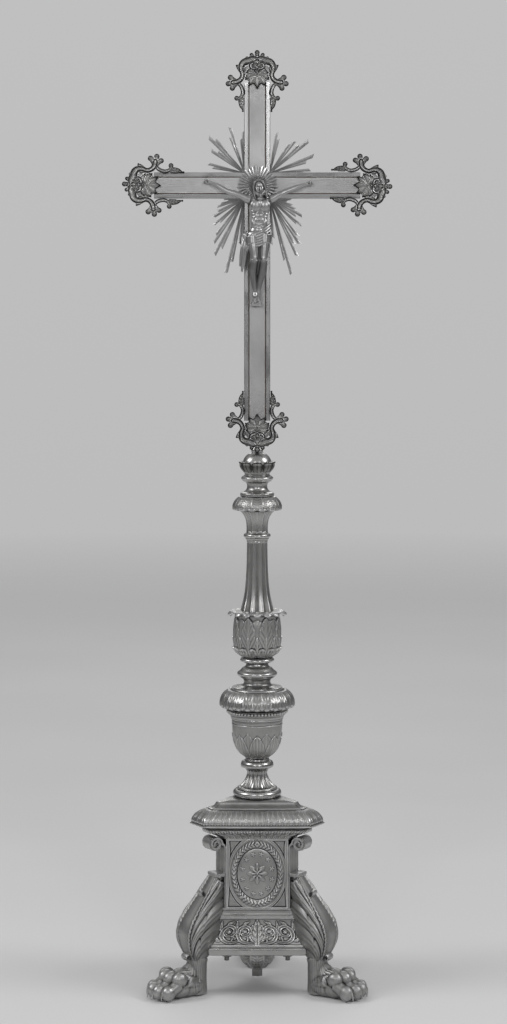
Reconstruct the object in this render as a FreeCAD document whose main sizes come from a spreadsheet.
import FreeCAD, Part

import math
import os

import Sketcher

# Altar cross on a three-sided footed stand. Millimetres, +Z up. The origin is on the floor below the
# stem, and the front of the cross faces -Y.

Vector = FreeCAD.Vector
Rotation = FreeCAD.Rotation
Placement = FreeCAD.Placement

CELLS = {
    # tie rod and the socket that the cross drops into
    "rod_radius": 5.0,
    "rod_foot_height": 11.5,
    "rod_top_height": 638.0,
    "bore_radius": 5.3,
    "rod_nut_side": 13.0,
    "rod_nut_height": 9.0,
    "socket_side": 8.3,
    "socket_radius": 7.2,
    "socket_floor": 641.0,
    "tang_side": 8.0,
    # turned stem, from the lid upwards
    "stem_base": 242.2,
    "foot_ring_radius": 31.1,
    "foot_ring_height": 9.2,
    "flare_foot_radius": 25.7,
    "flare_foot_height": 39.8,
    "urn_radius": 33.6,
    "urn_height": 52.0,
    "bead_collar_radius": 39.8,
    "bead_collar_height": 12.8,
    "knop_radius": 48.8,
    "knop_height": 25.0,
    "knop_neck_radius": 31.8,
    "knop_neck_height": 31.5,
    "cup_ring_radius": 22.2,
    "cup_ring_height": 8.3,
    "leaf_cup_radius": 37.9,
    "leaf_cup_height": 61.2,
    "shaft_radius": 22.5,
    "shaft_height": 87.3,
    "trumpet_radius": 23.7,
    "trumpet_height": 39.8,
    "cap_radius": 32.1,
    "cap_height": 18.0,
    "spool_radius": 21.8,
    "spool_height": 28.1,
    "calyx_radius": 24.4,
    "calyx_height": 16.4,
    "ball_radius": 18.7,
    "ball_floor": 1.6,
    "ball_height": 26.0,
    "collar_radius": 7.6,
    "collar_height": 40.0,
    # three-sided base: each level has the distance to its sides and to its cut corners
    "die_side": 35.5,
    "die_corner": 51.8,
    "die_bottom": 106.0,
    "die_top": 193.6,
    "sheet_wall": 2.5,
    "waist_side": 40.0,
    "waist_corner": 56.0,
    "waist_bottom": 93.6,
    "frieze_top_side": 38.5,
    "frieze_foot_side": 49.0,
    "frieze_half_length": 40.0,
    "plinth_side": 53.0,
    "plinth_corner": 66.0,
    "plinth_bottom": 48.7,
    "plinth_top": 60.8,
    "cornice_side": 48.0,
    "cornice_corner": 68.3,
    "cornice_step": 202.6,
    "cornice_top": 210.2,
    "lid_side": 60.6,
    "lid_corner": 89.9,
    "lid_rim_height": 213.9,
    "lid_band_side": 50.0,
    "lid_band_corner": 75.0,
    "lid_band_height": 231.0,
    "lid_step_side": 42.0,
    "lid_step_corner": 61.7,
    "medallion_half_width": 35.1,
    "medallion_half_height": 43.3,
    "medallion_centre": 150.0,
    "medallion_rise": 3.0,
    "cameo_half_width": 24.6,
    "cameo_half_height": 33.4,
    "cameo_rise": 5.5,
    "base_plate_side": 43.5,
    "base_plate_corner": 56.5,
    "base_plate_thickness": 3.0,
    "boss_radius": 24.0,
    "boss_foot": 21.2,
    "bolt_circle": 45.0,
    "bolt_radius": 3.0,
    "bolt_drop": 12.0,
    "bolt_nut_side": 9.0,
    # legs and paws
    "ribbon_half_width": 11.1,
    "ribbon_thickness": 2.2,
    "leg_foot": 46.0,
    "leg_knee_reach": 106.0,
    "leg_knee_half_width": 25.5,
    "roll_radius": 9.5,
    "roll_reach": 64.8,
    "roll_centre": 188.5,
    "ankle_reach": 88.5,
    "ankle_radius": 12.7,
    "paw_reach": 160.0,
    "paw_half_width": 24.0,
    "paw_rise": 24.0,
    "toe_radius": 8.6,
    # cross
    "cross_centre": 1025.8,
    "arm_reach": 132.3,
    "foot_reach": 301.7,
    "bar_half_width": 16.7,
    "bar_half_depth": 6.0,
    "case_wall": 1.2,
    "panel_half_width": 10.2,
    "panel_thickness": 1.2,
    "moulding_rise": 3.0,
    "finial_half_span": 39.2,
    "finial_reach": 41.0,
    "finial_thickness": 4.0,
    "fan_thickness": 1.4,
    "fan_reach": 62.3,
    "nimbus_radius": 27.0,
    "nimbus_thickness": 1.0,
    "screw_radius": 2.4,
    "nail_radius": 1.0,
    # figure on the cross
    "figure_depth": 8.5,
    "head_radius": 9.5,
    "chest_half_width": 14.8,
    "hip_half_width": 16.0,
    "knee_radius": 9.5,
    "shin_radius": 5.2,
    "shoulder_radius": 5.0,
    "wrist_radius": 2.5,
    "hand_reach": 64.4,
}

THROUGH = "through"
SIDES = {"front": 0.0, "right": 120.0, "left": 240.0}
CORNERS = {"front_left": 210.0, "front_right": 330.0, "rear": 90.0}
QUARTER_TURNS = {"top": 0.0, "right": 90.0, "bottom": 180.0, "left": 270.0}
COS30 = math.cos(math.radians(30))

document = FreeCAD.newDocument("altar_cross")
sheet = document.addObject("Spreadsheet::Sheet", "Sizes")
for row, (alias, value) in enumerate(CELLS.items(), start=1):
    sheet.set(f"A{row}", alias)
    sheet.set(f"B{row}", str(value))
    sheet.setAlias(f"B{row}", alias)
document.recompute()

nodes = []


class Size:
    """A length worked out from the sheet: its value, and the expression that keeps it so."""

    def __init__(self, value, text):
        self.value = value
        self.text = text

    def __add__(self, other):
        other = as_size(other)
        return Size(self.value + other.value, f"({self.text} + {other.text})")

    def __sub__(self, other):
        other = as_size(other)
        return Size(self.value - other.value, f"({self.text} - {other.text})")

    def __mul__(self, factor):
        return Size(self.value * factor, f"({self.text} * ({factor:.8g}))")


def as_size(length):
    return length if isinstance(length, Size) else Size(float(length), f"({length:.8g})")


def cell(alias):
    return Size(float(sheet.get(alias)), f"Sizes.{alias}")


def bind(thing, name, length):
    """Set a property, or a part of one such as Placement.Base.z, from the sheet."""
    length = as_size(length)
    if "." not in name:
        setattr(thing, name, length.value)
    thing.setExpression(name, length.text)


def keep(thing):
    """Count an object as a finished piece, exported under its own label."""
    nodes.append(thing)
    return thing


# ---------------------------------------------------------------- sketches and features


def new_body(label):
    body = document.addObject("PartDesign::Body", label)
    body.Label = label
    return body


def origin_plane(body, role):
    return next(plane for plane in body.Origin.OriginFeatures if plane.Role == role)


def attach(feature, body, role, offset=None):
    feature.AttachmentSupport = [(origin_plane(body, role), "")]
    feature.MapMode = "FlatFace"
    if offset is not None:
        bind(feature, "AttachmentOffset.Base.z", offset)


def new_sketch(body, name, role, offset=None):
    sketch = body.newObject("Sketcher::SketchObject", name)
    attach(sketch, body, role, offset)
    return sketch


def pin_point(sketch, geometry, vertex, point):
    """Hold a sketch vertex at its distances from the sketch's origin."""
    for kind, length in zip(("DistanceX", "DistanceY"), point):
        number = sketch.addConstraint(Sketcher.Constraint(kind, -1, 1, geometry, vertex, length.value))
        sketch.setExpression(f"Constraints[{number}]", length.text)


def draw_outline(sketch, points):
    """Draw a closed outline. A point with THROUGH after it is one that an arc passes through."""
    points = [[as_size(p[0]), as_size(p[1])] + list(p[2:]) for p in points]
    corners = [i for i, point in enumerate(points) if len(point) == 2]
    edges = []
    for here, there in zip(corners, corners[1:] + corners[:1]):
        start, end = (Vector(points[i][0].value, points[i][1].value) for i in (here, there))
        middle = points[(here + 1) % len(points)]
        if len(middle) == 3:
            via = Vector(middle[0].value, middle[1].value)
            arc = Part.Arc(start, via, end)
            edge = sketch.addGeometry(arc)
            forward = sketch.getPoint(edge, 1).distanceToPoint(start) < 1e-6
            edges.append((edge, 1 if forward else 2, 2 if forward else 1))
            helper = sketch.addGeometry(Part.Point(via), True)
            pin_point(sketch, helper, 1, middle)
            sketch.addConstraint(Sketcher.Constraint("PointOnObject", helper, 1, edge))
        else:
            edges.append((sketch.addGeometry(Part.LineSegment(start, end)), 1, 2))
    for (edge, _, last), (following, first, _) in zip(edges, edges[1:] + edges[:1]):
        sketch.addConstraint(Sketcher.Constraint("Coincident", edge, last, following, first))
    for (edge, first, _), corner in zip(edges, corners):
        pin_point(sketch, edge, first, points[corner])


def draw_circle(sketch, radius, centre=(0.0, 0.0)):
    centre = [as_size(length) for length in centre]
    radius = as_size(radius)
    middle = Vector(centre[0].value, centre[1].value)
    circle = sketch.addGeometry(Part.Circle(middle, Vector(0, 0, 1), radius.value))
    number = sketch.addConstraint(Sketcher.Constraint("Radius", circle, radius.value))
    sketch.setExpression(f"Constraints[{number}]", radius.text)
    pin_point(sketch, circle, 3, centre)


def draw_square(sketch, side):
    half = side * 0.5
    draw_outline(sketch, [(half * -1, half * -1), (half, half * -1), (half, half), (half * -1, half)])


def pad(body, sketch, length, symmetric=False, backwards=False):
    feature = body.newObject("PartDesign::Pad", sketch.Name + "_pad")
    feature.Profile = sketch
    bind(feature, "Length", length)
    feature.Reversed = backwards
    if symmetric:
        feature.SideType = "Symmetric"
    return feature


def pocket_through(body, sketch):
    feature = body.newObject("PartDesign::Pocket", sketch.Name + "_pocket")
    feature.Profile = sketch
    feature.Type = "ThroughAll"
    feature.SideType = "Symmetric"
    return feature


def loft(body, sketches, ruled=False):
    feature = body.newObject("PartDesign::AdditiveLoft", sketches[0].Name + "_loft")
    feature.Profile = sketches[0]
    feature.Sections = sketches[1:]
    feature.Ruled = ruled
    return feature


def turn_about_axis(body, angle):
    """Set a piece that was drawn along +X, or facing -Y, round to its own side of the stand."""
    body.Placement = Placement(Vector(), Rotation(Vector(0, 0, 1), angle))


# ---------------------------------------------------------------- turned pieces of the stem


def turned(label, radius, height, foot, outline):
    """A piece spun about the stem. The outline holds shares of its radius and height; a length from
    the sheet may stand in for a share."""

    def length(share, full):
        return share if isinstance(share, Size) else full * share

    body = new_body(label)
    sketch = new_sketch(body, label + "_outline", "XZ_Plane")
    draw_outline(sketch, [[length(p[0], radius), length(p[1], height)] + list(p[2:]) for p in outline])
    spin = body.newObject("PartDesign::Revolution", label + "_turning")
    spin.Profile = sketch
    spin.ReferenceAxis = (sketch, ["V_Axis"])
    spin.Angle = 360
    bind(body, "Placement.Base.z", foot)
    return keep(body)


def make_stem():
    bore = cell("bore_radius")
    socket = cell("socket_radius")
    floor = cell("stem_base")

    def stack(label, alias, outline):
        nonlocal floor
        height = cell(alias + "_height")
        turned(label, cell(alias + "_radius"), height, floor, outline)
        floor = floor + height

    stack("foot_ring", "foot_ring", [
        (bore, 0), (0.90, 0), (0.90, 0.08), (1.0, 0.5, THROUGH), (0.90, 0.92), (0.84, 1), (bore, 1)])
    stack("flare_foot", "flare_foot", [
        (0.55, 0), (1.0, 0), (1.0, 0.05), (0.64, 0.20, THROUGH), (0.50, 0.47), (0.51, 0.56, THROUGH),
        (0.60, 0.68), (0.82, 0.73), (0.825, 0.79, THROUGH), (0.76, 0.88), (0.62, 0.97), (0.62, 1),
        (bore, 1), (bore, 0.25)])
    stack("urn", "urn", [
        (bore, 0), (0.46, 0), (0.52, 0.05), (0.80, 0.20, THROUGH), (0.935, 0.48), (0.965, 0.65, THROUGH),
        (0.97, 0.90), (1.0, 0.97), (1.0, 1), (0.86, 1), (0.86, 0.55), (0.60, 0.20), (bore, 0.20)])
    stack("bead_collar", "bead_collar", [
        (bore, 0), (0.855, 0), (0.88, 0.25, THROUGH), (0.935, 0.4), (0.97, 0.45), (1.0, 0.67, THROUGH),
        (0.97, 0.9), (0.95, 1), (bore, 1)])
    stack("knop", "knop", [
        (0.60, 0), (0.80, 0), (0.94, 0.14), (1.0, 0.36, THROUGH), (0.96, 0.66), (0.90, 0.82, THROUGH),
        (0.78, 1), (bore, 1), (bore, 0.80), (0.52, 0.70)])
    stack("knop_neck", "knop_neck", [
        (bore, 0), (1.0, 0), (1.0, 0.07), (0.62, 0.10), (0.53, 0.22, THROUGH), (0.565, 0.36),
        (0.70, 0.42), (0.81, 0.56, THROUGH), (0.70, 0.72), (0.58, 0.80), (0.455, 0.86),
        (0.44, 0.93, THROUGH), (0.46, 1), (bore, 1)])
    stack("cup_ring", "cup_ring", [
        (bore, 0), (0.68, 0), (0.78, 0.12), (1.0, 0.5, THROUGH), (0.90, 0.90), (0.78, 1), (bore, 1)])
    stack("leaf_cup", "leaf_cup", [
        (bore, 0), (0.48, 0), (0.52, 0.05), (0.73, 0.11), (0.775, 0.17, THROUGH), (0.76, 0.24),
        (0.83, 0.28), (0.865, 0.48, THROUGH), (0.83, 0.80), (0.86, 0.84), (0.96, 0.87),
        (1.0, 0.915, THROUGH), (0.93, 0.96), (0.72, 0.97), (0.62, 0.90), (bore, 0.90)])
    stack("fluted_shaft", "shaft", [
        (bore, -0.068), (1.0, -0.068), (1.0, 0), (0.86, 0.12, THROUGH), (0.72, 0.31),
        (0.62, 0.55, THROUGH), (0.60, 0.80), (0.60, 1), (bore, 1)])
    stack("capital_trumpet", "trumpet", [
        (bore, 0), (0.62, 0), (0.64, 0.08), (0.73, 0.145, THROUGH), (0.64, 0.21), (0.58, 0.25),
        (0.56, 0.32), (0.60, 0.45, THROUGH), (0.78, 0.70), (1.0, 1), (bore, 1)])
    stack("capital_cap", "cap", [
        (bore, 0), (0.92, 0), (0.99, 0.10), (1.0, 0.30, THROUGH), (0.95, 0.62), (0.88, 0.82, THROUGH),
        (0.76, 1), (bore, 1)])
    spool_floor = floor
    socket_share = (cell("socket_floor") - spool_floor).value / cell("spool_height").value
    stack("neck_spool", "spool", [
        (bore, 0), (0.97, 0), (1.0, 0.07, THROUGH), (0.97, 0.14), (0.72, 0.20), (0.58, 0.40, THROUGH),
        (0.66, 0.56), (0.88, 0.64), (0.94, 0.76, THROUGH), (0.85, 0.90), (0.76, 1), (socket, 1),
        (socket, socket_share), (bore, socket_share)])
    rim = cell("calyx_radius")
    stack("calyx", "calyx", [
        (socket, 0), (0.68, 0), (0.89, 0.30), (1.0, 0.68, THROUGH), (0.90, 0.99), (0.85, 0.99),
        (0.80, 0.45), (0.66, cell("ball_floor")), (socket, cell("ball_floor"))])
    ball_foot = floor - cell("calyx_height") + cell("ball_floor")
    turned("ball", cell("ball_radius"), cell("ball_height"), ball_foot, [
        (socket, 0), (0.72, 0), (1.0, 0.48, THROUGH), (0.66, 1), (socket, 1)])
    ball_top = ball_foot + cell("ball_height")
    return ball_top


# ---------------------------------------------------------------- rod, socket and tang


def square_bar(label, side, length, foot, bore=None):
    body = new_body(label)
    sketch = new_sketch(body, label + "_section", "XY_Plane")
    draw_square(sketch, side)
    pad(body, sketch, length)
    if bore is not None:
        hole = new_sketch(body, label + "_bore", "XY_Plane")
        draw_circle(hole, bore)
        pocket_through(body, hole)
    bind(body, "Placement.Base.z", foot)
    return body


def make_rod():
    rod = document.addObject("Part::Cylinder", "tie_rod")
    bind(rod, "Radius", cell("rod_radius"))
    bind(rod, "Height", cell("rod_top_height") - cell("rod_foot_height"))
    bind(rod, "Placement.Base.z", cell("rod_foot_height"))
    keep(rod)
    foot = cell("boss_foot") - cell("rod_nut_height")
    keep(square_bar("rod_nut", cell("rod_nut_side"), cell("rod_nut_height"), foot, cell("rod_radius")))


def make_socket_tube(ball_top):
    """The tube that lines the ball and the spool, round outside and square inside."""
    body = new_body("socket_tube")
    wall = new_sketch(body, "socket_tube_wall", "XY_Plane")
    draw_circle(wall, cell("socket_radius"))
    pad(body, wall, ball_top - cell("socket_floor"))
    hole = new_sketch(body, "socket_tube_hole", "XY_Plane")
    draw_square(hole, cell("socket_side"))
    pocket_through(body, hole)
    bind(body, "Placement.Base.z", cell("socket_floor"))
    keep(body)


def make_tang(ball_top):
    """The square tang, from the socket up into the foot of the cross, and the collar round it."""
    foot = cell("socket_floor") + 1.5
    top = cell("cross_centre") - cell("foot_reach") + 36.0
    keep(square_bar("tang", cell("tang_side"), top - foot, foot))
    body = new_body("neck_collar")
    sketch = new_sketch(body, "neck_collar_outline", "XZ_Plane")
    radius = cell("collar_radius")
    height = cell("cross_centre") - cell("foot_reach") - ball_top
    bore = cell("tang_side") * 0.5
    draw_outline(sketch, [
        (bore, 0), (radius * 0.92, 0), (radius, height * 0.06, THROUGH), (radius * 0.92, height * 0.12),
        (radius * 0.76, height * 0.17), (radius * 0.76, height), (bore, height)])
    spin = body.newObject("PartDesign::Revolution", "neck_collar_turning")
    spin.Profile = sketch
    spin.ReferenceAxis = (sketch, ["V_Axis"])
    spin.Angle = 360
    hole = new_sketch(body, "neck_collar_hole", "XY_Plane")
    draw_square(hole, cell("tang_side"))
    pocket_through(body, hole)
    bind(body, "Placement.Base.z", ball_top)
    keep(body)


# ---------------------------------------------------------------- three-sided base


def cut_corner_outline(side, corner):
    """The plan of one level: a triangle with cut corners, one long side facing -Y."""
    half_length = (corner - side * 0.5) * (1 / COS30)
    outline = []
    for turn in (0, 120, 240):
        cosine, sine = math.cos(math.radians(turn)), math.sin(math.radians(turn))
        for end in (-1, 1):
            across, back = half_length * end, side * -1
            outline.append((across * cosine - back * sine, across * sine + back * cosine))
    return outline


def level(body, name, side, corner, height):
    sketch = new_sketch(body, name, "XY_Plane", height)
    draw_outline(sketch, cut_corner_outline(side, corner))
    return sketch


def ring_of_levels(label, side, corner, levels, wall):
    """A moulding that runs round the base; levels holds (height, how far it stands out)."""
    body = new_body(label)
    sections = [level(body, f"{label}_level_{i}", side + out, corner + out, height)
                for i, (height, out) in enumerate(levels)]
    loft(body, sections, ruled=True)
    least = min(out for _, out in levels)
    hollow = level(body, label + "_hollow", side + (least - wall), corner + (least - wall), levels[0][0])
    pocket_through(body, hollow)
    return keep(body)


def make_base_rings():
    wall = 6.0
    plinth_low, plinth_high = cell("plinth_bottom"), cell("plinth_top")
    ring_of_levels("plinth_moulding", cell("plinth_side"), cell("plinth_corner"), [
        (plinth_low, -1.5), (plinth_low + 3.0, 0.0), (plinth_high - 4.0, 0.0), (plinth_high, -2.5)], wall)
    waist_low, waist_high = cell("waist_bottom"), cell("die_bottom")
    ring_of_levels("waist_moulding", cell("waist_side"), cell("waist_corner"), [
        (waist_low, -1.0), (waist_low + 2.5, 0.0), (waist_high - 3.0, 0.0), (waist_high, -2.5)], wall)
    body = new_body("cornice_moulding")
    low, step, high = cell("die_top"), cell("cornice_step"), cell("cornice_top")
    band = [level(body, f"cornice_band_{i}", cell("die_side") + 1.0, cell("die_corner") + 1.0, height)
            for i, height in enumerate((low, step))]
    loft(body, band, ruled=True)
    eggs = [level(body, f"cornice_eggs_{i}", cell("cornice_side") + out, cell("cornice_corner") + out, height)
            for i, (height, out) in enumerate(((step, -3.0), (high, 0.0)))]
    loft(body, eggs, ruled=True)
    inner = level(body, "cornice_hollow", cell("die_side") - wall, cell("die_corner") - wall, low)
    pocket_through(body, inner)
    keep(body)


def make_lid():
    body = new_body("base_lid")
    rim, band, top = cell("lid_rim_height"), cell("lid_band_height"), cell("stem_base")
    edge = [level(body, f"lid_edge_{i}", side, corner, height) for i, (side, corner, height) in enumerate([
        (cell("lid_side") - 6.0, cell("lid_corner") - 9.0, cell("cornice_top")),
        (cell("lid_side"), cell("lid_corner"), rim),
        (cell("lid_side"), cell("lid_corner"), rim + 2.0),
        (cell("lid_band_side"), cell("lid_band_corner"), band)])]
    loft(body, edge, ruled=True)
    step = [level(body, f"lid_step_{i}", cell("lid_step_side") + out, cell("lid_step_corner") + out, height)
            for i, (height, out) in enumerate(((band, 3.0), (top - 3.0, 0.0), (top, -3.0)))]
    loft(body, step, ruled=True)
    cavity = level(body, "lid_cavity", cell("die_side") - 6.0, cell("die_corner") - 6.0, cell("cornice_top"))
    hollow = body.newObject("PartDesign::Pocket", "lid_cavity_pocket")
    hollow.Profile = cavity
    hollow.Reversed = True
    bind(hollow, "Length", top - cell("cornice_top") - 6.0)
    bore = new_sketch(body, "lid_bore", "XY_Plane")
    draw_circle(bore, cell("bore_radius"))
    pocket_through(body, bore)
    keep(body)


def make_sides():
    """The three walls, each with its medallion, and the three sloping friezes below them."""
    die_side, wall = cell("die_side"), cell("sheet_wall")
    half_length = (cell("die_corner") - die_side * 0.5) * (1 / COS30)
    low, high = cell("die_bottom"), cell("die_top")
    for name, turn in SIDES.items():
        panel = new_body(f"side_panel_{name}")
        face = new_sketch(panel, f"side_panel_{name}_face", "XZ_Plane", die_side - wall)
        draw_outline(face, [
            (half_length * -1, low), (half_length, low), (half_length, high), (half_length * -1, high)])
        pad(panel, face, wall)
        turn_about_axis(panel, turn)
        keep(panel)

        medallion = new_body(f"medallion_{name}")
        make_oval(medallion, f"medallion_{name}_wreath", "medallion", die_side, cell("medallion_rise"))
        make_oval(medallion, f"medallion_{name}_cameo", "cameo", die_side, cell("cameo_rise"))
        turn_about_axis(medallion, turn)
        keep(medallion)

        frieze = new_body(f"frieze_{name}")
        slope = new_sketch(frieze, f"frieze_{name}_slope", "YZ_Plane")
        top_side, foot_side = cell("frieze_top_side"), cell("frieze_foot_side")
        top, foot = cell("waist_bottom"), cell("plinth_top")
        draw_outline(slope, [
            (foot_side * -1, foot), (top_side * -1 - 4.0, foot + 14.0, THROUGH), (top_side * -1, top),
            (top_side * -1 + wall, top), (foot_side * -1 + wall, foot)])
        pad(frieze, slope, cell("frieze_half_length") * 2, symmetric=True)
        turn_about_axis(frieze, turn)
        keep(frieze)


def make_oval(body, name, alias, plane, rise):
    """An upright oval plaque standing out from the wall that faces -Y."""
    sketch = new_sketch(body, name, "XZ_Plane", plane)
    across, up = cell(alias + "_half_width"), cell(alias + "_half_height")
    centre = Vector(0, cell("medallion_centre").value)
    tip = centre + Vector(0, up.value)
    oval = sketch.addGeometry(Part.Ellipse(tip, centre + Vector(across.value, 0), centre))
    sketch.exposeInternalGeometry(oval)
    pin_point(sketch, oval, 3, (as_size(0), cell("medallion_centre")))
    major, minor = oval + 1, oval + 2
    sketch.addConstraint(Sketcher.Constraint("Vertical", major))
    for line, length in ((major, up * 2), (minor, across * 2)):
        number = sketch.addConstraint(Sketcher.Constraint("Distance", line, length.value))
        sketch.setExpression(f"Constraints[{number}]", length.text)
    pad(body, sketch, rise)


def make_underside():
    body = new_body("base_plate")
    foot = cell("plinth_bottom")
    plate = level(body, "base_plate_outline", cell("base_plate_side"), cell("base_plate_corner"), foot)
    pad(body, plate, cell("base_plate_thickness"))
    bore = new_sketch(body, "base_plate_bore", "XY_Plane")
    draw_circle(bore, cell("bore_radius"))
    pocket_through(body, bore)
    for corner, turn in CORNERS.items():
        angle = math.radians(turn)
        hole = new_sketch(body, f"base_plate_hole_{corner}", "XY_Plane")
        reach = cell("bolt_circle")
        draw_circle(hole, cell("bolt_radius"), (reach * math.cos(angle), reach * math.sin(angle)))
        pocket_through(body, hole)
    keep(body)
    height = foot - cell("boss_foot")
    turned("boss_dome", cell("boss_radius"), height, cell("boss_foot"), [
        (cell("bore_radius"), 0), (0.30, 0), (0.36, 0.12), (0.52, 0.52, THROUGH), (0.88, 0.80),
        (1.0, 0.88), (1.0, 1), (cell("bore_radius"), 1)])
    bolts = []
    for corner, turn in CORNERS.items():
        bolt = new_body(f"bolt_{corner}")
        shank = new_sketch(bolt, f"bolt_{corner}_shank", "XY_Plane", foot - cell("bolt_drop"))
        draw_circle(shank, cell("bolt_radius"), (cell("bolt_circle"), 0))
        pad(bolt, shank, cell("bolt_drop") + cell("base_plate_thickness") + 3.0)
        nut = new_sketch(bolt, f"bolt_{corner}_nut", "XY_Plane", foot - cell("bolt_nut_side") * 0.8)
        half = cell("bolt_nut_side") * 0.5
        near, far = cell("bolt_circle") - half, cell("bolt_circle") + half
        draw_outline(nut, [(near, half * -1), (far, half * -1), (far, half), (near, half)])
        pad(bolt, nut, cell("bolt_nut_side") * 0.8)
        turn_about_axis(bolt, turn)
        bolts.append(bolt)
    group("base_bolts", bolts)


def group(label, members):
    compound = document.addObject("Part::Compound", label)
    compound.Links = members
    return keep(compound)


# ---------------------------------------------------------------- legs and paws


def make_leg(corner, turn):
    """A strap that rolls over at the top and swells into a leaf-shaped knee, drawn along +X."""
    body = new_body(f"leg_{corner}")
    back = cell("die_corner") + 0.2
    knee, half_knee = cell("leg_knee_reach"), cell("leg_knee_half_width")
    strap = cell("ribbon_half_width")
    foot = cell("leg_foot")
    sections = [
        (foot, cell("plinth_corner") + 2.0, knee - 9.0, half_knee * 0.80),
        (foot + 15.0, cell("plinth_corner") + 0.4, knee - 3.0, half_knee * 0.96),
        (foot + 38.0, cell("plinth_corner") - 5.0, knee, half_knee),
        (foot + 60.0, cell("waist_corner") + 0.4, knee - 14.0, half_knee * 0.80),
        (foot + 82.0, back, knee - 38.0, half_knee * 0.54),
        (foot + 104.0, back, back + 4.0, strap),
    ]
    sketches = []
    for number, (height, inner, outer, half) in enumerate(sections):
        sketch = new_sketch(body, f"leg_{corner}_section_{number}", "XY_Plane", height)
        draw_outline(sketch, [(inner, half * -1), (outer, 0, THROUGH), (inner, half)])
        sketches.append(sketch)
    loft(body, sketches, ruled=True)

    face = back + cell("ribbon_thickness")
    reach, middle, roll = cell("roll_reach"), cell("roll_centre"), cell("roll_radius")
    ribbon = new_sketch(body, f"leg_{corner}_ribbon", "XZ_Plane")
    draw_outline(ribbon, [
        (back, foot + 102.0), (face, foot + 102.0), (face, middle - 12.0),
        (reach - roll * 0.766, middle - roll * 0.643), (reach + roll * 0.766, middle - roll * 0.643, THROUGH),
        (reach, middle + roll), (reach - roll * 0.94, middle + roll * 0.55, THROUGH), (back, middle - 4.0)])
    pad(body, ribbon, strap * 2, symmetric=True)

    ledge = new_sketch(body, f"leg_{corner}_ledge", "XZ_Plane")
    draw_outline(ledge, [
        (back, foot + 100.0), (back + 15.0, foot + 100.0), (back + 15.0, foot + 104.5), (back, foot + 104.5)])
    pad(body, ledge, strap, symmetric=True)
    turn_about_axis(body, turn)
    keep(body)


def make_paw(corner, turn):
    """A clawed foot pointing along +X: a flat sole, the instep, the ankle and four toes."""
    body = new_body(f"paw_{corner}")
    reach, half, rise = cell("paw_reach"), cell("paw_half_width"), cell("paw_rise")
    heel = cell("ankle_reach") - cell("ankle_radius")
    toe = cell("toe_radius")
    toe_line = reach - toe
    sole = new_sketch(body, f"paw_{corner}_sole", "XY_Plane")
    draw_outline(sole, [
        (heel + 2.0, half * -0.45), (toe_line, half * -0.85), (toe_line, half * 0.85), (heel + 2.0, half * 0.45)])
    pad(body, sole, 4.0)
    sections = [
        (heel, half * 0.50, rise * 0.75), (heel + 13.0, half * 0.60, rise * 1.15),
        (heel + 34.0, half * 0.82, rise * 1.05), (toe_line - 14.0, half * 1.0, rise * 0.95),
        (toe_line, half * 0.90, rise * 0.70)]
    sketches = []
    for number, (along, width, height) in enumerate(sections):
        sketch = new_sketch(body, f"paw_{corner}_section_{number}", "YZ_Plane", along)
        draw_outline(sketch, [
            (width * -1, 1.0), (width, 1.0), (width, height * 0.4), (0, height, THROUGH),
            (width * -1, height * 0.4)])
        sketches.append(sketch)
    loft(body, sketches, ruled=True)
    ankle = new_sketch(body, f"paw_{corner}_ankle", "XY_Plane", 8.0)
    draw_circle(ankle, cell("ankle_radius"), (cell("ankle_reach"), 0))
    pad(body, ankle, cell("leg_foot") - 8.0)
    for number, share in enumerate((-0.72, -0.25, 0.25, 0.72)):
        sphere = body.newObject("PartDesign::AdditiveSphere", f"paw_{corner}_toe_{number}")
        attach(sphere, body, "XY_Plane", toe + 0.7)
        bind(sphere, "Radius", toe)
        bind(sphere, "AttachmentOffset.Base.x", toe_line - 0.9 - abs(share) * 5.0)
        bind(sphere, "AttachmentOffset.Base.y", half * share)
    turn_about_axis(body, turn)
    keep(body)


# ---------------------------------------------------------------- cross


def cross_outline(half_width, reach, foot_reach):
    """The outline of a cross about its own crossing, in X and Z."""
    w, r, f = half_width, reach, foot_reach
    return [
        (w * -1, f * -1), (w, f * -1), (w, w * -1), (r, w * -1), (r, w), (w, w),
        (w, r), (w * -1, r), (w * -1, w), (r * -1, w), (r * -1, w * -1), (w * -1, w * -1)]


def cross_plate(body, name, half_width, trim, front, thickness):
    """A cross-shaped plate whose front is at Y = -front, thickness deep."""
    sketch = new_sketch(body, name, "XZ_Plane", front - thickness)
    draw_outline(sketch, cross_outline(half_width, cell("arm_reach") - trim, cell("foot_reach") - trim))
    return pad(body, sketch, thickness)


def raise_to_crossing(thing):
    bind(thing, "Placement.Base.z", cell("cross_centre"))
    return thing


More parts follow.
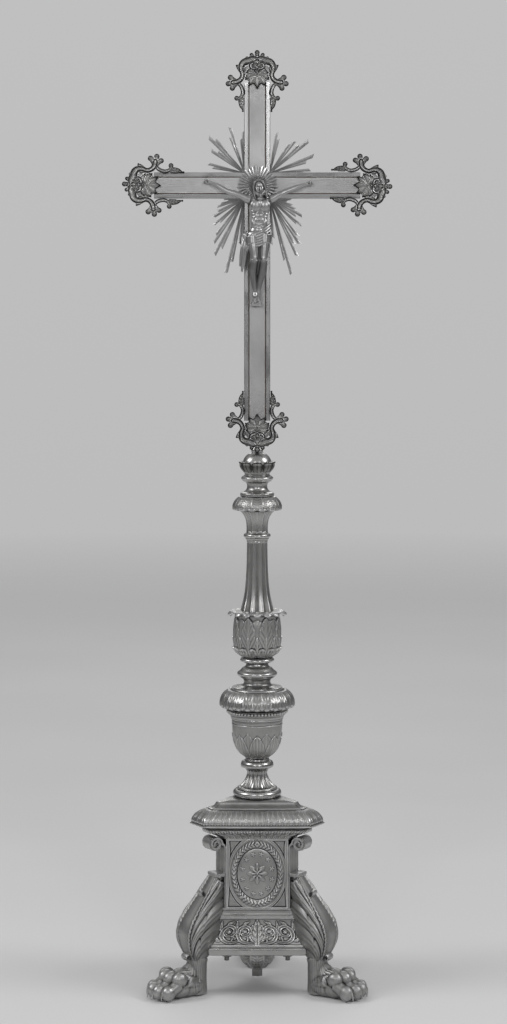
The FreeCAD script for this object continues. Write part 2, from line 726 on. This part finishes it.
def make_cross_case():
    half, depth, wall = cell("bar_half_width"), cell("bar_half_depth"), cell("case_wall")
    core_depth = depth * 2 - wall
    tang_hole = cell("tang_side")
    core = new_body("wood_core")
    cross_plate(core, "wood_core_outline", half - wall, wall, depth, core_depth)
    slot = new_sketch(core, "wood_core_slot", "XY_Plane", cell("foot_reach") * -1)
    draw_square(slot, tang_hole)
    mortise = core.newObject("PartDesign::Pocket", "wood_core_mortise")
    mortise.Profile = slot
    mortise.Reversed = True
    bind(mortise, "Length", 36.0)
    keep(raise_to_crossing(core))

    case = new_body("back_case")
    cross_plate(case, "back_case_outline", half, 0.0, depth, depth * 2)
    tray = new_sketch(case, "back_case_tray", "XZ_Plane", depth)
    draw_outline(tray, cross_outline(half - wall, cell("arm_reach") - wall, cell("foot_reach") - wall))
    hollow = case.newObject("PartDesign::Pocket", "back_case_hollow")
    hollow.Profile = tray
    bind(hollow, "Length", core_depth)
    slot = new_sketch(case, "back_case_slot", "XY_Plane", cell("foot_reach") * -1)
    draw_square(slot, tang_hole)
    hole = case.newObject("PartDesign::Pocket", "back_case_hole")
    hole.Profile = slot
    hole.Reversed = True
    bind(hole, "Length", wall + 1.0)
    keep(raise_to_crossing(case))

    panel = new_body("front_panel")
    thickness = cell("panel_thickness")
    cross_plate(panel, "front_panel_outline", cell("panel_half_width"), 0.0, depth + thickness, thickness)
    keep(raise_to_crossing(panel))


def make_border_mouldings():
    """Four angle-shaped strips, one in each corner of the cross, round the sunk panel."""
    inner, outer = cell("panel_half_width") + 0.05, cell("bar_half_width")
    rise, depth = cell("moulding_rise"), cell("bar_half_depth")
    arm, foot = cell("arm_reach"), cell("foot_reach")
    strips = []
    for name, across, up, reach in (
            ("upper_right", 1, 1, arm), ("upper_left", -1, 1, arm),
            ("lower_right", 1, -1, foot), ("lower_left", -1, -1, foot)):
        strip = new_body(f"moulding_{name}")
        sketch = new_sketch(strip, f"moulding_{name}_outline", "XZ_Plane", depth)
        corners = [(inner, inner), (inner, reach), (outer, reach), (outer, outer), (arm, outer), (arm, inner)]
        draw_outline(sketch, [(x * across, z * up) for x, z in corners])
        pad(strip, sketch, rise)
        strips.append(raise_to_crossing(strip))
    group("border_mouldings", strips)


def make_finial(place, turn):
    """A cast leafy end for one arm, drawn for the top one and turned about the crossing."""
    body = new_body(f"finial_{place}")
    span, reach = cell("finial_half_span"), cell("finial_reach")
    end = cell("foot_reach") if place == "bottom" else cell("arm_reach")
    right_half = [
        (0.13, 0.93), (0.29, 0.73), (0.46, 0.68), (0.58, 0.66), (0.61, 0.50), (0.53, 0.34), (0.56, 0.20),
        (0.78, 0.20), (0.93, 0.14), (1.00, -0.06), (0.90, -0.22), (0.77, -0.26), (0.66, -0.12),
        (0.60, -0.28), (0.76, -0.48), (0.68, -0.60), (0.58, -0.56), (0.55, -0.80), (0.50, -0.98),
        (0.44, -0.92), (0.435, -0.12), (0.26, -0.06), (0.10, -0.15)]
    left_half = [(-u, v) for u, v in reversed(right_half)]
    outline = [(0, 1)] + right_half + [(0, -0.20)] + left_half
    front = cell("bar_half_depth") + cell("moulding_rise")
    sketch = new_sketch(body, f"finial_{place}_outline", "XZ_Plane", front)
    draw_outline(sketch, [(span * u, end + reach * v) for u, v in outline])
    pad(body, sketch, cell("finial_thickness"))
    body.Placement = Placement(Vector(), Rotation(Vector(0, 1, 0), turn))
    keep(raise_to_crossing(body))


def fan_outline(centre, rays, mirror):
    """A fan of narrow rays out of one corner of the cross, rays holding (direction, share of reach)."""
    root, spread, tip_half = 0.24, 5.0, 3.2
    points = []

    def add(distance, direction, aside=0.0):
        angle = math.radians(direction)
        along, side = (math.cos(angle), math.sin(angle)), (-math.sin(angle), math.cos(angle))
        across = distance * along[0] + aside * side[0]
        up = distance * along[1] + aside * side[1]
        points.append((centre + across, (centre + up) * mirror))

    points.append((centre * 0.55, centre * 0.55 * mirror))
    for direction, share in rays:
        add(cell("fan_reach") * root, direction - spread)
        add(cell("fan_reach") * share, direction, -tip_half)
        add(cell("fan_reach") * share, direction, tip_half)
        add(cell("fan_reach") * root, direction + spread)
    return points


def make_fans():
    upper = [(1, 0.79), (19, 0.94), (43, 1.0), (56, 0.79), (80, 0.79)]
    lower = [(7, 0.62), (31, 0.72), (45, 1.10), (60, 1.31), (77, 1.61)]
    centre = cell("bar_half_width") * 0.97
    for name, across, up, rays in (
            ("upper_right", 1, 1, upper), ("upper_left", -1, 1, upper),
            ("lower_right", 1, -1, lower), ("lower_left", -1, -1, lower)):
        body = new_body(f"ray_fan_{name}")
        outline = [(x * across, z) for x, z in fan_outline(centre, rays, up)]
        back = (cell("bar_half_depth") + cell("fan_thickness")) * -1
        sketch = new_sketch(body, f"ray_fan_{name}_outline", "XZ_Plane", back)
        draw_outline(sketch, outline)
        pad(body, sketch, cell("fan_thickness"))
        keep(raise_to_crossing(body))


def forward_disc(name, radius, thickness, front, across=0.0, up=0.0):
    """A round disc facing -Y, its front at Y = -front."""
    disc = document.addObject("Part::Cylinder", name)
    bind(disc, "Radius", radius)
    bind(disc, "Height", thickness)
    disc.Placement = Placement(Vector(), Rotation(Vector(1, 0, 0), 90))
    bind(disc, "Placement.Base.x", across)
    bind(disc, "Placement.Base.y", (as_size(front) - thickness) * -1)
    bind(disc, "Placement.Base.z", cell("cross_centre") + up)
    return disc


def make_nimbus_and_fasteners():
    face = cell("bar_half_depth") + cell("moulding_rise")
    thick = cell("nimbus_thickness")
    keep(forward_disc("nimbus", cell("nimbus_radius"), thick, face + thick))
    back = (cell("bar_half_depth") + cell("fan_thickness")) * -1
    head, shank = 1.5, cell("bar_half_depth")
    screws = []
    for across in (-1, 1):
        for up in (-1, 1):
            spot = cell("bar_half_width") * 0.75
            name = f"screw_{'right' if across > 0 else 'left'}_{'upper' if up > 0 else 'lower'}"
            cap = forward_disc(name + "_head", cell("screw_radius"), as_size(head), back,
                               spot * across, spot * up)
            pin = forward_disc(name + "_shank", cell("screw_radius") * 0.5, shank, back + shank,
                               spot * across, spot * up)
            screw = document.addObject("Part::MultiFuse", name)
            screw.Shapes = [cap, pin]
            screws.append(screw)
    group("cross_screws", screws)


# ---------------------------------------------------------------- figure on the cross


def ball_joint(name, radius, across, forward, up):
    ball = document.addObject("Part::Sphere", name)
    bind(ball, "Radius", radius)
    bind(ball, "Placement.Base.x", across)
    bind(ball, "Placement.Base.y", as_size(forward) * -1)
    bind(ball, "Placement.Base.z", cell("cross_centre") + up)
    return ball


def limb(name, start, end, start_radius, end_radius):
    """A tapering round limb between two points about the crossing, in millimetres."""
    start, end = Vector(*start), Vector(*end)
    cone = document.addObject("Part::Cone", name)
    bind(cone, "Radius1", start_radius)
    bind(cone, "Radius2", end_radius)
    cone.Height = (end - start).Length
    cone.Placement = Placement(start, Rotation(Vector(0, 0, 1), end - start))
    bind(cone, "Placement.Base.z", cell("cross_centre") + start.z)
    return cone


def make_figure():
    deep = cell("figure_depth")
    face = cell("bar_half_depth") + cell("moulding_rise") + cell("nimbus_thickness") + 0.2
    middle = face + deep
    hip, chest, shin = cell("hip_half_width"), cell("chest_half_width"), cell("shin_radius")
    sections = [
        (-152.0, -3.0, shin * 0.8, 0.45), (-138.0, -2.5, shin, 0.6), (-118.0, -0.5, shin * 1.5, 0.8),
        (-98.0, 0.5, cell("knee_radius"), 0.95), (-82.0, 0.5, hip * 0.82, 1.0), (-66.0, 0.5, hip, 1.0),
        (-50.0, 2.5, chest * 0.75, 0.8), (-38.0, 3.0, chest * 0.9, 0.95), (-24.0, 3.0, chest, 1.0),
        (-17.0, 3.0, chest * 0.8, 0.8), (-12.5, 2.5, chest * 0.3, 0.5)]
    body = new_body("corpus")
    sketches = []
    for number, (up, across, half, share) in enumerate(sections):
        sketch = new_sketch(body, f"corpus_section_{number}", "XY_Plane", cell("cross_centre") + up)
        draw_outline(sketch, [
            (as_size(across) - half, middle * -1), (across, (middle + deep * share) * -1, THROUGH),
            (as_size(across) + half, middle * -1), (across, (middle - deep * share) * -1, THROUGH)])
        sketches.append(sketch)
    loft(body, sketches, ruled=True)
    head = body.newObject("PartDesign::AdditiveSphere", "corpus_head")
    attach(head, body, "XY_Plane", cell("cross_centre") - 4.0)
    bind(head, "Radius", cell("head_radius"))
    bind(head, "AttachmentOffset.Base.x", 2.0)
    bind(head, "AttachmentOffset.Base.y", (middle + 1.0) * -1)
    keep(body)

    arms = []
    reach, wrist_radius = cell("hand_reach"), cell("wrist_radius")
    upper, elbow_radius = cell("shoulder_radius") * 0.9, cell("shoulder_radius") * 0.72
    depth = middle.value
    for name, side, shoulder in (("left", -1, -11.5), ("right", 1, 17.5)):
        start = (shoulder + 4.0 * side, -depth, -18.8)
        elbow = (38.0 * side, -depth + 1.0, -10.5)
        wrist = ((reach.value - 3.0) * side, -face.value - 3.4, 0.5)
        arm = document.addObject("Part::MultiFuse", f"arm_{name}")
        arm.Shapes = [
            limb(f"arm_{name}_upper", start, elbow, upper, elbow_radius),
            ball_joint(f"arm_{name}_elbow", elbow_radius, elbow[0], -elbow[1], elbow[2]),
            limb(f"arm_{name}_lower", elbow, wrist, elbow_radius, wrist_radius),
            ball_joint(f"arm_{name}_hand", wrist_radius * 1.3, reach * side, face + 3.4, 1.0)]
        arms.append(arm)
    group("corpus_arms", arms)

    rest = document.addObject("Part::Box", "foot_rest")
    bind(rest, "Length", cell("shin_radius") * 2.4)
    bind(rest, "Width", deep)
    rest.Height = 4.5
    bind(rest, "Placement.Base.x", cell("shin_radius") * -1.2 - 2.8)
    bind(rest, "Placement.Base.y", (cell("bar_half_depth") + cell("panel_thickness") + deep) * -1)
    bind(rest, "Placement.Base.z", cell("cross_centre") - 158.0)
    keep(rest)

    nails = []
    panel = cell("bar_half_depth")
    for name, across, up, front in (
            ("left_hand", reach * -1, 1.0, face + 6.5), ("right_hand", reach, 1.0, face + 6.5),
            ("feet", as_size(-2.8), -144.0, middle + 5.5)):
        head = forward_disc(f"nail_{name}_head", cell("nail_radius") * 2.0, as_size(1.6), front, across, up)
        shank = forward_disc(f"nail_{name}_shank", cell("nail_radius"), front - panel, front, across, up)
        nail = document.addObject("Part::MultiFuse", f"nail_{name}")
        nail.Shapes = [head, shank]
        nails.append(nail)
    group("nails", nails)


# ---------------------------------------------------------------- the whole object


def check_and_export():
    document.recompute()
    for thing in document.Objects:
        if {"Invalid", "Error"} & set(thing.State):
            raise RuntimeError(f"{thing.Name} failed: {thing.State}")
    for node in nodes:
        if node.Shape.isNull() or not node.Shape.isValid() or not node.Shape.Solids:
            raise RuntimeError(f"{node.Label} has no valid solid")
    os.makedirs("parts", exist_ok=True)
    for node in nodes:
        node.Shape.exportStep(f"parts/{node.Label}.step")
        box = node.Shape.optimalBoundingBox(True, False)
        print(f"{node.Label:22s} {len(node.Shape.Solids)} solid(s) {node.Shape.Volume / 1000:9.2f} cm3  "
              f"x {box.XMin:7.1f} {box.XMax:7.1f}  y {box.YMin:7.1f} {box.YMax:7.1f}  "
              f"z {box.ZMin:7.1f} {box.ZMax:7.1f}")
    print(len(nodes), "nodes")


make_rod()
socket_mouth = make_stem()
make_socket_tube(socket_mouth)
make_base_rings()
make_lid()
make_sides()
make_underside()
for corner_name, corner_turn in CORNERS.items():
    make_leg(corner_name, corner_turn)
    make_paw(corner_name, corner_turn)
make_tang(socket_mouth)
make_cross_case()
make_border_mouldings()
for place_name, quarter_turn in QUARTER_TURNS.items():
    make_finial(place_name, quarter_turn)
make_fans()
make_nimbus_and_fasteners()
make_figure()
check_and_export()
